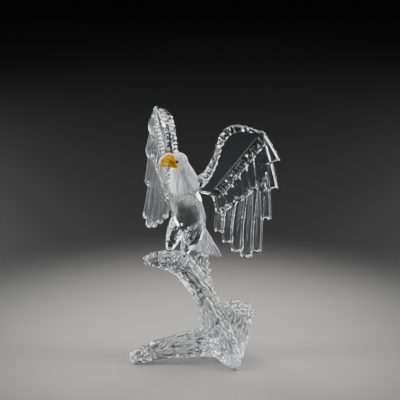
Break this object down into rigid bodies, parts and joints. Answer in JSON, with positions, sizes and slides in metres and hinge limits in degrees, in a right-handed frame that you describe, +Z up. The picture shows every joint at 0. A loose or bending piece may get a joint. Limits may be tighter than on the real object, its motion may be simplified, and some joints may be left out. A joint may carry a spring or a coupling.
{
  "type": "eagle figurine",
  "caption": "Crystal eagle landing with raised wings on a branch of pressed crystal driftwood, with a satin head and tail, a yellow beak and black eyes.",
  "frame": {"origin": "middle of the box round the figure, at the height of the surface it stands on", "axes": "+X to the right of someone who faces the figure, +Y away from them, +Z up"},
  "size_m": [0.0967, 0.076, 0.1648],
  "materials": {
    "clear_crystal": "polished, with sharp ground facets",
    "satin_crystal": "acid-etched to a soft satin",
    "yellow_crystal": "polished",
    "black_glass": "polished bead",
    "clear_pad": "soft and clear"
  },
  "bodies": {
    "root": {"branch": "clear_crystal", "body": "clear_crystal", "wing_left": "clear_crystal", "wing_right": "clear_crystal", "head": "satin_crystal", "tail": "satin_crystal", "beak": "yellow_crystal", "eye_left": "black_glass", "eye_right": "black_glass", "pad_left": "clear_pad", "pad_front": "clear_pad", "pad_back": "clear_pad"}
  },
  "joints": []
}
